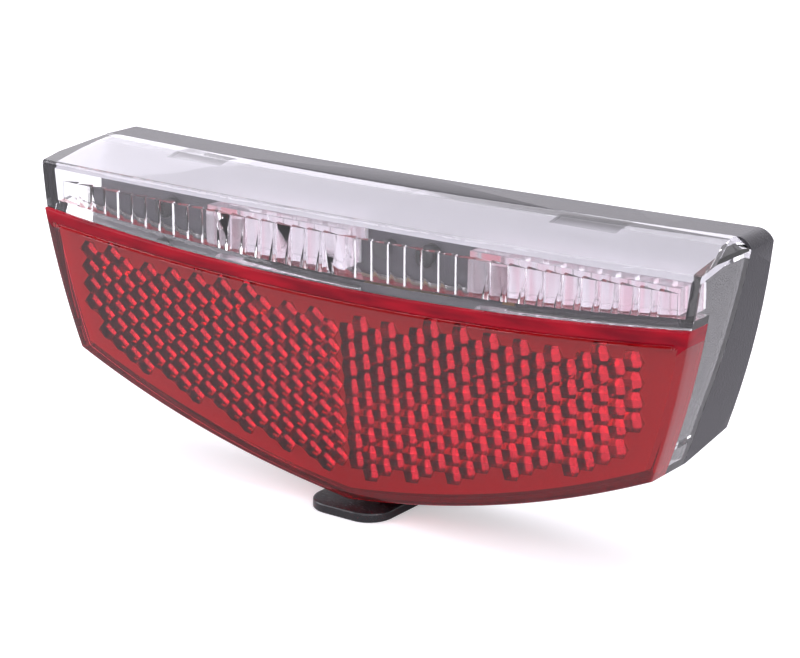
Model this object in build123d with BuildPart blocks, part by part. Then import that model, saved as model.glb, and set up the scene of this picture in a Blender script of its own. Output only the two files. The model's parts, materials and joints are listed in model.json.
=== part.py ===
"""Rear light for a bicycle luggage carrier, in millimetres.

The rear plane that lies against the carrier's bracket is Y = 0, the lamp shines towards -Y, and Z = 0 is
the height of the two mounting bolts. Depths are counted forward from the rear plane, so Y = -depth.
Drops are counted down from the top face.
"""

import os

from build123d import *

os.makedirs("parts", exist_ok=True)

# Outline of the lamp, seen from the front
half_width = 60.0
top_height = 20.0
corner_inset = 6.8
corner_rise = 14.8
side_bulge = 1.0
bottom_bulge = 2.2
top_corner_run = 2.4
top_corner_fall = 1.6
top_corner_bulge = 0.42

# Depths of the bowed surfaces, at the lamp's ends, and how far each one stands forward in the middle
rear_bow = 1.96
seam_top_depth = 6.2
seam_low_depth = 10.4
seam_knee_drop = 24.0
seam_bow = 2.63
step_bow = 0.3
strip_lean = 0.4
strip_bow = 1.16
strip_setback = 0.6
reflector_lean = 1.8
reflector_rim_depth = 5.1
reflector_top_bow = 0.95
reflector_low_bow = -0.7

# The clear top face falls forward from a fold line
fold_depth = 8.2
fold_fall = 2.5
fold_run = 12.6

# Underside of the black shell, which rises to the rear
underside_rise = 2.3

# Junction of the strip and the reflector
junction_drop = 13.0
junction_end_rise = 3.35

# Walls and gaps
housing_wall = 2.0
rear_wall = 2.2
cover_wall = 1.8
top_wall = 1.6
shelf_wall = 1.2
reflector_wall = 1.7
reflector_face = 2.9
reflector_ledge = 0.7
face_gap = 0.05
slip_gap = 0.15
overrun = 4.0

# Prisms moulded inside the strip, and the rounded edge over it
prism_pitch = 2.95
prism_height = 0.6
prism_top_wall = 3.4
front_edge_radius = 0.6

# Backing plate of the reflector
backing_thickness = 0.6
backing_gap = 0.1
cell_backing_gap = 0.62

# Seal in the seam
seal_width = 0.9
seal_depth = 1.0
seal_edge = 0.5

# Mounting bolts, M5 with hexagon heads, 80 apart
bolt_spacing = 80.0
bolt_radius = 2.5
bolt_neck_radius = 2.9
bolt_hole_gap = 0.1
bolt_head_flats = 8.0
bolt_head_height = 3.5
bolt_reach = 14.0
bolt_tip_chamfer = 0.6
bolt_boss_radius = 6.5
bolt_cage_radius = 6.4
bolt_cage_height = 3.2
bolt_head_gap = 0.15
hexagon_sides = 6

# Cover screws
cover_screw_inset = 5.8
cover_screw_rise = 4.3
cover_screw_radius = 1.25
cover_screw_length = 12.0
cover_screw_head_radius = 2.6
cover_screw_head_height = 1.6
cover_screw_sink = 1.9
cover_boss_radius = 3.0
cover_boss_cap = 1.75
cover_web = 1.2
screw_pilot_gap = 0.02
drive_share = 0.45
drive_depth_share = 0.5

# Hooks at the top of the cover
hook_x = 35.9
hook_width = 11.0
hook_thickness = 1.2
hook_reach = 3.0

# AAA cells
cell_radius = 5.25
cell_length = 44.5
cell_spacing = 0.5
cell_cap_radius = 1.9
cell_cap_height = 0.9
cell_edge = 0.6
cell_board_gap = 0.85

# Battery tray
tray_floor = 0.9
tray_wall = 0.8
tray_lip_height = 5.0
tray_end_wall = 1.2
tray_end_room = 1.75
tray_ear_length = 6.4
tray_ear_height = 6.0
tray_ear_thickness = 1.2
cell_gap = 0.25
tray_seat_gap = 0.15

# Stamped contacts
contact_thickness = 0.4
contact_width = 7.0
contact_tongue_share = 0.42
contact_tail_width = 2.0

# Light source board
board_depth = 11.6
board_thickness = 1.0
board_end_room = 6.5
board_top_drop = 3.6
board_height = 9.8
board_screw_offset = 14.0
board_screw_share = 0.5
board_screw_drop = 8.4
post_radius = 2.4
small_screw_radius = 0.9
small_screw_length = 6.0
small_screw_head_radius = 1.8
small_screw_head_height = 1.2

# Light sources at the top of their clear light guides
led_x = 24.0
led_drop = 6.2
led_width = 3.6
led_side = 1.9
led_height = 1.1
led_lens_width = 3.0
led_lens_side = 1.0
led_lens_height = 0.5
optic_drop = 8.2
optic_width = 4.2
optic_height = 6.2
optic_face_gap = 0.4
optic_collar = 0.4
optic_collar_thickness = 1.2
optic_pocket_gap = 0.15
guide_left_length = 22.4
guide_right_length = 29.6
guide_back_gap = 0.15
notch_depth = 0.5
reflector_plate = 0.8

# Board components
chip_width = 5.0
chip_height = 4.4
chip_thickness = 1.4
chip_x = -6.0
resistor_length = 2.0
resistor_width = 1.2
resistor_thickness = 0.6
resistor_pitch = 3.0
resistor_count = 4
resistor_first_x = -22.5
capacitor_radius = 2.0
capacitor_height = 3.6
capacitor_x = 3.0
sensor_radius = 1.5
sensor_height = 1.2
sensor_x = 4.4

# Slide switch
switch_travel = 2.5
switch_board_thickness = 0.9
switch_board_half_width = 14.6
switch_board_back = 4.8
switch_board_wing_back = 8.6
switch_half_width = 6.0
switch_front_room = 1.0
switch_depth = 4.4
switch_height = 3.0
switch_shell = 0.6
wiper_half_width = 1.6
wiper_gap = 0.15
stem_half_width = 1.1
stem_half_depth = 0.7
tray_switch_gap = 0.4
switch_carrier_gap = 0.3
carrier_floor_gap = 1.0
carrier_thickness = 0.6
carrier_half_width = 8.8
carrier_rim_back = 0.6
carrier_rim_front = 0.8
post_half_width = 1.1

# Tongue under the lamp
tongue_half_width = 7.0
tongue_gap = 0.7
tongue_thickness = 1.5
tongue_back = 3.4
tongue_front = 21.0
tongue_corner_radius = 4.2
tongue_back_radius = 1.5
tongue_edge = 0.3
neck_half_width = 3.2
neck_front_room = 1.2
neck_depth = 4.0
neck_gap = 0.4
peg_radius = 0.6
peg_x = 2.3
peg_gap = 0.05

# Flat lead
lead_width = 2.0
lead_thickness = 0.3
lead_gap = 0.4
lead_joint = 1.0

# Places across the lamp that follow from its width
corner_half_width = half_width - corner_inset
cover_screw_x = corner_half_width - cover_screw_inset
board_half_width = half_width - board_end_room
board_screw_places_x = [-led_x - board_screw_offset, led_x * board_screw_share]

# Drops that follow from what the lamp holds, from the board down to the tongue
board_low_drop = board_top_drop + board_height
cell_pitch = 2 * cell_radius + cell_spacing
upper_cell_drop = board_low_drop + cell_board_gap + cell_radius
lower_cell_drop = upper_cell_drop + cell_pitch
tray_middle_drop = (upper_cell_drop + lower_cell_drop) / 2
tray_top_drop = upper_cell_drop - cell_radius - cell_gap - tray_wall
tray_low_drop = lower_cell_drop + cell_radius + cell_gap + tray_wall
switch_board_drop = tray_low_drop + tray_switch_gap
switch_body_drop = switch_board_drop + switch_board_thickness
switch_low_drop = switch_body_drop + switch_height
carrier_drop = switch_low_drop + switch_carrier_gap
carrier_low_drop = carrier_drop + carrier_thickness
tip_drop = carrier_low_drop + carrier_floor_gap + housing_wall + underside_rise
corner_drop = tip_drop - corner_rise
cover_screw_drop = corner_drop - cover_screw_rise
tongue_top_drop = tip_drop + tongue_gap
lowest_drop = tip_drop + overrun

# Depths that follow from the cells and what covers them
tray_back = rear_bow + rear_wall + tray_seat_gap
cell_axis_depth = tray_back + tray_floor + cell_gap + cell_radius
cell_front = cell_axis_depth + cell_radius
lean = reflector_lean / (tip_drop - junction_drop)
reflector_cell_depth = cell_front + cell_backing_gap + backing_thickness + backing_gap + reflector_face
reflector_top_depth = reflector_cell_depth + lean * (lower_cell_drop - junction_drop)
strip_low_depth = reflector_top_depth - strip_setback
strip_top_depth = strip_low_depth - strip_lean
step_depth = reflector_top_depth - reflector_rim_depth

# Depths of the switch and the tongue's neck, which stand behind the seam
switch_front = seam_low_depth - switch_front_room
switch_back = switch_front - switch_depth
neck_front = seam_low_depth - neck_front_room
neck_back = neck_front - neck_depth
carrier_back = neck_back - carrier_rim_back
carrier_front = neck_front + carrier_rim_front

# Drops at which the bowed surfaces are drawn
station_drops = [-overrun, seam_knee_drop, lowest_drop]


def height(drop):
    """Z of a place that lies this far below the top face."""
    return top_height - drop


def bulged(start, end, bulge):
    """Middle point of an arc from start to end that stands out to its right by bulge."""
    across = Vector(*end) - Vector(*start)
    out = Vector(across.Y, -across.X).normalized()
    return (Vector(*start) + Vector(*end)) / 2 + out * bulge


def depth_face(level, back, front):
    """Slice at height level between two bowed lines, each given as its end depth and its bow."""
    reach = half_width + overrun
    grown = (reach / half_width) ** 2
    (back_end, back_bow), (front_end, front_bow) = back, front
    back_edge = -(back_end + back_bow * (1 - grown))
    front_edge = -(front_end + front_bow * (1 - grown))
    with BuildSketch(Plane.XY.offset(level)) as face:
        with BuildLine():
            ThreePointArc((-reach, back_edge), (0, -back_end - back_bow), (reach, back_edge))
            Line((reach, back_edge), (reach, front_edge))
            ThreePointArc((reach, front_edge), (0, -front_end - front_bow), (-reach, front_edge))
            Line((-reach, front_edge), (-reach, back_edge))
        make_face()
    return face.sketch


def rear_line(shift=0):
    """Depths of the rear face, moved forward by shift."""
    return [(drop, shift, rear_bow) for drop in station_drops]


def seam_line(shift=0):
    """Depths of the seam between the black shell and the clear cover."""
    slope = (seam_low_depth - seam_top_depth) / seam_knee_drop
    depths = [seam_low_depth - slope * max(seam_knee_drop - drop, 0) for drop in station_drops]
    return [(drop, depth + shift, seam_bow) for drop, depth in zip(station_drops, depths)]


def step_line(shift=0):
    """Depths of the step that the reflector's rim stands on."""
    return [(drop, step_depth + shift, step_bow) for drop in station_drops]


def strip_line(shift=0):
    """Depths of the outer face of the clear strip."""
    slope = strip_lean / junction_drop
    return [(drop, strip_top_depth + slope * drop + shift, strip_bow) for drop in station_drops]


def reflector_line(shift=0):
    """Depths of the outer face of the reflector, which leans back towards its bottom edge."""
    unbow = (reflector_low_bow - reflector_top_bow) / (tip_drop - junction_drop)
    stations = []
    for drop in station_drops:
        below = drop - junction_drop
        depth = reflector_top_depth - lean * below + shift
        stations.append((drop, depth, reflector_top_bow + unbow * below))
    return stations


def depth_slab(back, front):
    """Solid between two surfaces that are given at the same heights."""
    with BuildPart() as slab:
        for (drop, *back_pair), (_, *front_pair) in zip(back, front):
            add(depth_face(height(drop), back_pair, front_pair))
        loft(ruled=True)
    return slab.part


def beyond(line):
    """The same surface, moved well forward of the lamp."""
    return [(drop, strip_low_depth + tip_drop, bow) for drop, _, bow in line]


def outline(inset=0, rounded=False):
    """The lamp's outline seen from the front, drawn in by inset all round."""
    run_point = (half_width - top_corner_run, height(0))
    fall_point = (half_width, height(top_corner_fall))
    corner = (corner_half_width, height(corner_drop))
    tip = (0, height(tip_drop))
    with BuildSketch() as face:
        with BuildLine():
            Line((0, height(0)), run_point)
            if rounded:
                ThreePointArc(run_point, bulged(fall_point, run_point, top_corner_bulge), fall_point)
            else:
                Line(run_point, fall_point)
            ThreePointArc(fall_point, bulged(corner, fall_point, side_bulge), corner)
            ThreePointArc(corner, bulged(tip, corner, bottom_bulge), tip)
            mirror(about=Plane.YZ)
        make_face()
        if inset:
            offset(amount=-inset, kind=Kind.INTERSECTION)
    return face.sketch


def body_block(inset, back, front, rounded=False):
    """The outline, drawn in by inset, between two bowed surfaces."""
    slab = depth_slab(back, front)
    with BuildPart() as block:
        with BuildSketch(Plane.XZ.offset(-overrun)):
            add(outline(inset, rounded))
        extrude(amount=strip_low_depth + strip_bow + 2 * overrun)
        add(slab, mode=Mode.INTERSECT)
    return block.part


def under_floor(inset, back, front):
    """What is cut away below the shell's underside, which rises to the rear."""
    corner = (corner_half_width, height(corner_drop) + inset)
    tip = (0, height(tip_drop) + inset)
    with BuildPart() as cut:
        with BuildSketch(Plane.XZ.offset(front)):
            with BuildLine():
                edge = ThreePointArc(tip, bulged(tip, corner, bottom_bulge), corner)
                out = edge @ 1 + (edge % 1) * (half_width - corner_half_width + overrun)
                Line(edge @ 1, out)
                below = (out.X, height(lowest_drop + overrun))
                Line(out, below)
                Line(below, (0, height(lowest_drop + overrun)))
                Line((0, height(lowest_drop + overrun)), tip)
            make_face()
            mirror(about=Plane.YZ)
        slope = underside_rise / seam_low_depth
        run = front - back
        extrude(amount=(run ** 2 + (run * slope) ** 2) ** 0.5, dir=(0, 1, slope))
    return cut.part


def fold_cut(wall=0):
    """What is cut away above the sloping top face, or above its underside at this wall."""
    fall = fold_fall / fold_run
    end = strip_low_depth + strip_bow + overrun
    with BuildPart() as cut:
        with BuildSketch(Plane.YZ):
            with BuildLine():
                Polyline(
                    (-fold_depth, height(wall)),
                    (-end, height(wall) - fall * (end - fold_depth)),
                    (-end, height(-overrun)),
                    (-fold_depth, height(-overrun)),
                    close=True,
                )
            make_face()
        extrude(amount=half_width + overrun, both=True)
    return cut.part


def below_junction(shift=0, start=step_depth - overrun):
    """Everything below the junction of strip and reflector, from the depth start forward."""
    end_level = height(junction_drop - junction_end_rise + shift)
    middle = (0, height(junction_drop + shift))
    grown = ((half_width + overrun) / half_width) ** 2
    reach = half_width + overrun
    edge_level = height(junction_drop + shift - junction_end_rise * grown)
    low = height(lowest_drop)
    with BuildPart() as zone:
        with BuildSketch(Plane.XZ.offset(start)):
            with BuildLine():
                ThreePointArc((-reach, edge_level), middle, (reach, edge_level))
                Polyline((reach, edge_level), (reach, low), (-reach, low), (-reach, edge_level))
            make_face()
        extrude(amount=strip_low_depth + strip_bow + overrun)
    return zone.part


def block_at(x, width, back, front, top_drop, low_drop):
    """A plain block between two depths and two drops."""
    with BuildPart() as block:
        with BuildSketch(Plane.XZ.offset(back)):
            with Locations((x, height((top_drop + low_drop) / 2))):
                Rectangle(width, low_drop - top_drop)
        extrude(amount=front - back)
    return block.part


def round_at(x, drop, radius, back, front):
    """A plain round bar along the lamp's depth."""
    with BuildPart() as bar:
        with BuildSketch(Plane.XZ.offset(back)):
            with Locations((x, height(drop))):
                Circle(radius)
        extrude(amount=front - back)
    return bar.part


def save(piece, name):
    """Labels a finished piece and writes it."""
    piece.part.label = name
    export_step(piece.part, f"parts/{name}.step")


# Black rear shell
bolt_drop = top_height
bolt_places = [-bolt_spacing / 2, bolt_spacing / 2]
bolt_wall_depth = rear_bow * (1 - (bolt_spacing / 2 / half_width) ** 2) + rear_wall
head_back = bolt_wall_depth
ear_depth = tray_back + tray_lip_height - tray_ear_thickness
tray_half_width = cell_length / 2 + tray_end_room + tray_end_wall
ear_x = tray_half_width + tray_ear_length / 2
slot_half_width = neck_half_width + switch_travel + neck_gap
post_x = switch_board_half_width - post_half_width
board_front = board_depth + board_thickness
tilted_floor = under_floor(0, -overrun, seam_low_depth)
tilted_hollow = under_floor(housing_wall, -overrun, seam_low_depth)
housing_outer = body_block(0, rear_line(), seam_line(), rounded=True)
housing_inner = body_block(housing_wall, rear_line(rear_wall), seam_line(overrun))
seal_ring = body_block(seal_edge, seam_line(-seal_depth), seam_line(overrun))
groove_core = body_block(seal_edge + seal_width, seam_line(-seal_depth - face_gap), seam_line(overrun))
with BuildPart() as hollow:
    add(housing_inner)
    add(tilted_hollow, mode=Mode.SUBTRACT)

with BuildPart() as inside_posts:
    for x in board_screw_places_x:
        add(round_at(x, board_screw_drop, post_radius, 0, board_depth - face_gap))
    for x in (-ear_x, ear_x):
        add(round_at(x, tray_middle_drop, post_radius, 0, ear_depth - face_gap))
    for x in (-post_x, post_x):
        add(block_at(x, 2 * post_half_width, 0, board_front, switch_body_drop + face_gap, lowest_drop))
    for x in bolt_places:
        add(round_at(x, bolt_drop, bolt_cage_radius, 0, bolt_wall_depth + bolt_cage_height))
    for x in (-cover_screw_x, cover_screw_x):
        add(round_at(x, cover_screw_drop, cover_boss_radius, 0, lowest_drop))
    add(housing_outer, mode=Mode.INTERSECT)
    add(tilted_floor, mode=Mode.SUBTRACT)

with BuildPart() as groove:
    add(seal_ring)
    add(groove_core, mode=Mode.SUBTRACT)

with BuildPart() as rear_housing:
    add(housing_outer)
    add(tilted_floor, mode=Mode.SUBTRACT)
    add(hollow.part, mode=Mode.SUBTRACT)
    add(inside_posts.part)
    add(fold_cut(), mode=Mode.SUBTRACT)
    for x in bolt_places:
        add(round_at(x, bolt_drop, bolt_boss_radius, 0, bolt_wall_depth))
    # Hexagon pockets that hold the bolt heads, and the bolt holes
    with BuildSketch(Plane.XZ.offset(head_back)):
        with Locations(*[(x, height(bolt_drop)) for x in bolt_places]):
            RegularPolygon(bolt_head_flats / 2 + bolt_head_gap, hexagon_sides, major_radius=False)
    extrude(amount=bolt_cage_height + overrun, mode=Mode.SUBTRACT)
    for x in bolt_places:
        add(round_at(x, bolt_drop, bolt_neck_radius + bolt_hole_gap, -overrun, head_back),
            mode=Mode.SUBTRACT)
    # Pilot holes of the board and tray screws
    for x in board_screw_places_x:
        pilot_back = board_depth + board_thickness - small_screw_length - slip_gap
        add(round_at(x, board_screw_drop, small_screw_radius + screw_pilot_gap, pilot_back, lowest_drop),
            mode=Mode.SUBTRACT)
    for x in (-ear_x, ear_x):
        pilot_back = ear_depth + tray_ear_thickness - small_screw_length - slip_gap
        add(round_at(x, tray_middle_drop, small_screw_radius + screw_pilot_gap, pilot_back, lowest_drop),
            mode=Mode.SUBTRACT)
    # Through holes and sunk seats of the cover screws
    for x in (-cover_screw_x, cover_screw_x):
        add(round_at(x, cover_screw_drop, cover_screw_radius + slip_gap, -overrun, lowest_drop),
            mode=Mode.SUBTRACT)
        add(round_at(x, cover_screw_drop, cover_screw_head_radius + slip_gap, -overrun,
                     cover_screw_sink + cover_screw_head_height), mode=Mode.SUBTRACT)
    # Slot for the tongue's neck
    slot_middle = -(neck_back + neck_front) / 2
    with BuildSketch(Plane.XY.offset(height(lowest_drop))):
        with Locations((0, slot_middle)):
            Rectangle(2 * slot_half_width, neck_front - neck_back + 2 * neck_gap)
    extrude(amount=lowest_drop - carrier_drop - carrier_thickness, mode=Mode.SUBTRACT)
    add(groove.part, mode=Mode.SUBTRACT)
save(rear_housing, "rear_housing")

# Seal
with BuildPart() as housing_seal:
    add(body_block(seal_edge + face_gap, seam_line(-seal_depth + face_gap), seam_line()))
    add(body_block(seal_edge + seal_width - face_gap, seam_line(-seal_depth - overrun), seam_line(overrun)),
        mode=Mode.SUBTRACT)
    add(under_floor(seal_edge + face_gap, -overrun, seam_low_depth), mode=Mode.SUBTRACT)
save(housing_seal, "housing_seal")

# Clear cover: top, sides, ribbed front strip and the shelf below it
cover_outer = body_block(0, seam_line(face_gap), strip_line())
cover_hollow = body_block(cover_wall, seam_line(-overrun), strip_line(-cover_wall))
seat_cut = body_block(-overrun, step_line(), beyond(step_line()))
junction_zone = below_junction()
shelf_zone = below_junction(-shelf_wall)
cover_limits = body_block(0, seam_line(face_gap), step_line())
with BuildPart() as seat:
    add(seat_cut)
    add(junction_zone, mode=Mode.INTERSECT)

with BuildPart() as shelf:
    add(cover_outer)
    add(shelf_zone, mode=Mode.INTERSECT)
    add(junction_zone, mode=Mode.SUBTRACT)
    add(body_block(cover_wall, seam_line(-overrun), step_line(-shelf_wall)), mode=Mode.SUBTRACT)

with BuildPart() as prism_limits:
    add(body_block(cover_wall - face_gap, step_line(), strip_line(-cover_wall / 2)))
    add(shelf_zone, mode=Mode.SUBTRACT)
    add(fold_cut(prism_top_wall), mode=Mode.SUBTRACT)

tooth_count = int((half_width - cover_wall) / prism_pitch)
with BuildPart() as prisms:
    with BuildSketch(Plane.XY.offset(height(junction_drop + overrun))):
        for number in range(-tooth_count, tooth_count):
            left = number * prism_pitch
            right = left + prism_pitch
            middle = (left + right) / 2
            leans_right = 0 < middle < led_x or middle < -led_x
            root_depth = strip_top_depth - cover_wall + strip_bow * (1 - (middle / half_width) ** 2)
            tooth_back = -(root_depth + cover_wall / 2)
            left_face = -(root_depth - (0 if leans_right else prism_height))
            right_face = -(root_depth - (prism_height if leans_right else 0))
            with BuildLine():
                Polyline(
                    (left, tooth_back), (left, left_face), (right, right_face), (right, tooth_back), close=True
                )
            make_face()
    extrude(amount=junction_drop + overrun)
    add(prism_limits.part, mode=Mode.INTERSECT)

cover_boss_front = cover_screw_sink + cover_screw_length + slip_gap + cover_boss_cap
with BuildPart() as screw_bosses:
    for x in (-cover_screw_x, cover_screw_x):
        add(round_at(x, cover_screw_drop, cover_boss_radius, 0, cover_boss_front))
        add(block_at(x, cover_web, 0, cover_boss_front, cover_screw_drop, lowest_drop))
    add(block_at(0, 2 * half_width, 0, cover_boss_front, cover_screw_drop - cover_web / 2,
                 cover_screw_drop + cover_web / 2))
    add(block_at(0, 2 * cover_screw_x, -overrun, cover_boss_front + overrun, 0, cover_screw_drop + cover_web),
        mode=Mode.SUBTRACT)
    add(cover_limits, mode=Mode.INTERSECT)
    add(seat.part, mode=Mode.SUBTRACT)

with BuildPart() as hollow_limits:
    add(cover_hollow)
    add(fold_cut(top_wall), mode=Mode.SUBTRACT)

hook_seam = seam_top_depth + seam_bow * (1 - (hook_x / half_width) ** 2)
hook_drop = housing_wall + slip_gap
hook_low_drop = hook_drop + hook_thickness
with BuildPart() as hook_pads:
    for x in (-hook_x, hook_x):
        add(block_at(x, hook_width, 0, hook_seam + hook_reach, 0, hook_low_drop))
    add(cover_outer, mode=Mode.INTERSECT)

with BuildPart() as rounded_cover:
    add(cover_outer)
    add(fold_cut(), mode=Mode.SUBTRACT)
    sloping_face = rounded_cover.faces().filter_by(GeomType.PLANE).sort_by(SortBy.AREA)[-1]
    fillet(sloping_face.edges().sort_by(Axis.Y)[0], front_edge_radius)

with BuildPart() as lens_cover:
    add(rounded_cover.part)
    add(seat.part, mode=Mode.SUBTRACT)
    add(hollow_limits.part, mode=Mode.SUBTRACT)
    add(shelf.part)
    add(prisms.part)
    add(screw_bosses.part)
    add(hook_pads.part)
    add(fold_cut(), mode=Mode.SUBTRACT)
    for x in (-hook_x, hook_x):
        add(block_at(x, hook_width, hook_seam - hook_reach, hook_seam + hook_reach, hook_drop, hook_low_drop))
    for x in (-cover_screw_x, cover_screw_x):
        pilot = round_at(x, cover_screw_drop, cover_screw_radius + screw_pilot_gap, 0,
                         cover_screw_sink + cover_screw_length + slip_gap)
        add(pilot, mode=Mode.SUBTRACT)
save(lens_cover, "lens_cover")

# Red reflector: a pan whose face carries the corner cubes
reflector_outer = body_block(0, step_line(face_gap), reflector_line())
reflector_hollow = body_block(reflector_wall, step_line(-overrun), reflector_line(-reflector_face))
reflector_top = below_junction(face_gap)
with BuildPart() as reflector_core:
    add(reflector_hollow)
    add(below_junction(shelf_wall + face_gap), mode=Mode.INTERSECT)

with BuildPart() as reflector:
    add(reflector_outer)
    add(reflector_top, mode=Mode.INTERSECT)
    add(reflector_core.part, mode=Mode.SUBTRACT)
    top_front = reflector.faces().sort_by(Axis.Y)[0].edges().sort_by(Axis.Z)[-1]
    chamfer(top_front, reflector_ledge, shelf_wall)
save(reflector, "reflector")

# Backing plate behind the corner cubes
backing_inset = reflector_wall + slip_gap
with BuildPart() as reflector_backing:
    add(body_block(backing_inset, reflector_line(-reflector_face - backing_gap - backing_thickness),
                   reflector_line(-reflector_face - backing_gap)))
    add(below_junction(shelf_wall + face_gap + slip_gap), mode=Mode.INTERSECT)
save(reflector_backing, "reflector_backing")

# Mounting bolts: hexagon heads inside, plain necks in the wall, threaded ends behind the lamp
with BuildPart() as mounting_bolts:
    with BuildSketch(Plane.XZ.offset(head_back + face_gap)):
        with Locations(*[(x, height(bolt_drop)) for x in bolt_places]):
            RegularPolygon(bolt_head_flats / 2, hexagon_sides, major_radius=False)
    extrude(amount=bolt_head_height)
    for x in bolt_places:
        add(round_at(x, bolt_drop, bolt_neck_radius, 0, head_back + face_gap))
        add(round_at(x, bolt_drop, bolt_radius, -bolt_reach, 0))
    chamfer(mounting_bolts.faces().group_by(Axis.Y)[-1].edges(), bolt_tip_chamfer)
save(mounting_bolts, "mounting_bolts")


def screws(places, radius, length, head_radius, head_height, head_seat, forward):
    """Pan head screws along the depth; forward is 1 when they point forward, -1 when they point back."""
    with BuildPart() as group:
        with BuildSketch(Plane.XZ.offset(head_seat)):
            with Locations(*places):
                Circle(head_radius)
        extrude(amount=-head_height * forward)
        rims = group.faces().filter_by(Axis.Y).group_by(Axis.Y)[-1 if forward > 0 else 0].edges()
        fillet(rims, head_height / 2)
        with BuildSketch(Plane.XZ.offset(head_seat)):
            with Locations(*places):
                Circle(radius)
        extrude(amount=length * forward)
        with BuildSketch(Plane.XZ.offset(head_seat - head_height * forward)):
            with Locations(*places):
                RegularPolygon(head_radius * drive_share, hexagon_sides)
        extrude(amount=head_height * drive_depth_share * forward, mode=Mode.SUBTRACT)
    return group


cover_screw_places = [(x, height(cover_screw_drop)) for x in (-cover_screw_x, cover_screw_x)]
cover_screw_seat = cover_screw_sink + cover_screw_head_height
cover_screws = screws(cover_screw_places, cover_screw_radius, cover_screw_length - cover_screw_head_height,
                      cover_screw_head_radius, cover_screw_head_height, cover_screw_seat, 1)
save(cover_screws, "cover_screws")

# Battery tray with an ear at each end
inner_half_width = cell_length / 2 + tray_end_room
with BuildPart() as battery_tray:
    with BuildSketch(Plane.XZ.offset(tray_back)):
        with Locations((0, height(tray_middle_drop))):
            Rectangle(2 * tray_half_width, tray_low_drop - tray_top_drop)
    extrude(amount=tray_lip_height)
    with BuildSketch(Plane.XZ.offset(tray_back + tray_floor)):
        with Locations((0, height(tray_middle_drop))):
            Rectangle(2 * inner_half_width, tray_low_drop - tray_top_drop - 2 * tray_wall)
    extrude(amount=tray_lip_height, mode=Mode.SUBTRACT)
    for side in (-1, 1):
        ear_middle = side * (tray_half_width + tray_ear_length / 2 - face_gap)
        add(block_at(ear_middle, tray_ear_length, ear_depth, ear_depth + tray_ear_thickness,
                     tray_middle_drop - tray_ear_height / 2, tray_middle_drop + tray_ear_height / 2))
        add(round_at(side * ear_x, tray_middle_drop, small_screw_radius + slip_gap, 0, lowest_drop),
            mode=Mode.SUBTRACT)
save(battery_tray, "battery_tray")


# Cells: the upper one has its cap to the right, the lower one to the left
def cell(drop, cap_side):
    """An AAA cell with its cap towards cap_side."""
    body_length = cell_length - cell_cap_height
    start = -cap_side * cell_length / 2
    with BuildPart() as can:
        with BuildSketch(Plane.YZ.offset(start)):
            with Locations((-cell_axis_depth, height(drop))):
                Circle(cell_radius)
        extrude(amount=cap_side * body_length)
        fillet(can.edges().filter_by(GeomType.CIRCLE), cell_edge)
        with BuildSketch(Plane.YZ.offset(start + cap_side * body_length)):
            with Locations((-cell_axis_depth, height(drop))):
                Circle(cell_cap_radius)
        extrude(amount=cap_side * cell_cap_height)
    return can


battery_cell_upper = cell(upper_cell_drop, 1)
save(battery_cell_upper, "battery_cell_upper")
battery_cell_lower = cell(lower_cell_drop, -1)
save(battery_cell_lower, "battery_cell_lower")


# Stamped spring contacts: a plate on the tray's end wall with a tongue that leans on the cell
def contact(side, drops, tail_drop=None):
    """A contact on the end wall at side, with one sprung tongue for each cell drop."""
    wall = inner_half_width - face_gap
    reach = tray_end_room - 2 * face_gap
    near = wall - reach
    low = drops[-1] + contact_width / 2
    top = drops[0] - contact_width / 2
    with BuildPart() as leaf:
        add(block_at(side * (wall - contact_thickness / 2), contact_thickness,
                     cell_axis_depth - contact_width / 2, cell_axis_depth + contact_width / 2, top, low))
        for drop in drops:
            plane = Plane.XY.offset(height(drop) - contact_width * contact_tongue_share / 2)
            front = -(cell_axis_depth + contact_width / 2)
            middle = -cell_axis_depth
            with BuildSketch(plane):
                with BuildLine():
                    Polyline(
                        (side * wall, front),
                        (side * near, middle),
                        (side * (near + contact_thickness), middle),
                        (side * wall, front + 2 * contact_thickness),
                        close=True,
                    )
                make_face()
            extrude(amount=contact_width * contact_tongue_share)
        if tail_drop is not None:
            add(block_at(side * (wall - contact_thickness / 2), contact_thickness,
                         board_depth - face_gap - contact_tail_width, board_depth - face_gap,
                         tail_drop, top + contact_tail_width))
    return leaf


contact_link = contact(-1, [upper_cell_drop, lower_cell_drop])
save(contact_link, "contact_link")
contact_positive = contact(1, [upper_cell_drop], board_low_drop - contact_tail_width)
save(contact_positive, "contact_positive")
contact_negative = contact(1, [lower_cell_drop])
save(contact_negative, "contact_negative")

# Light source board, bored for its screws
board_middle_drop = (board_top_drop + board_low_drop) / 2
with BuildPart() as circuit_board:
    add(block_at(0, 2 * board_half_width, board_depth, board_depth + board_thickness, board_top_drop,
                 board_low_drop))
    for x in board_screw_places_x:
        add(round_at(x, board_screw_drop, small_screw_radius + slip_gap, 0, lowest_drop), mode=Mode.SUBTRACT)
save(circuit_board, "circuit_board")

board_screws = screws([(x, height(board_screw_drop)) for x in board_screw_places_x],
                      small_screw_radius, small_screw_length, small_screw_head_radius,
                      small_screw_head_height, board_front + face_gap, -1)
save(board_screws, "board_screws")
tray_screws = screws([(x, height(tray_middle_drop)) for x in (-ear_x, ear_x)],
                     small_screw_radius, small_screw_length, small_screw_head_radius,
                     small_screw_head_height, ear_depth + tray_ear_thickness + face_gap, -1)
save(tray_screws, "tray_screws")

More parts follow.
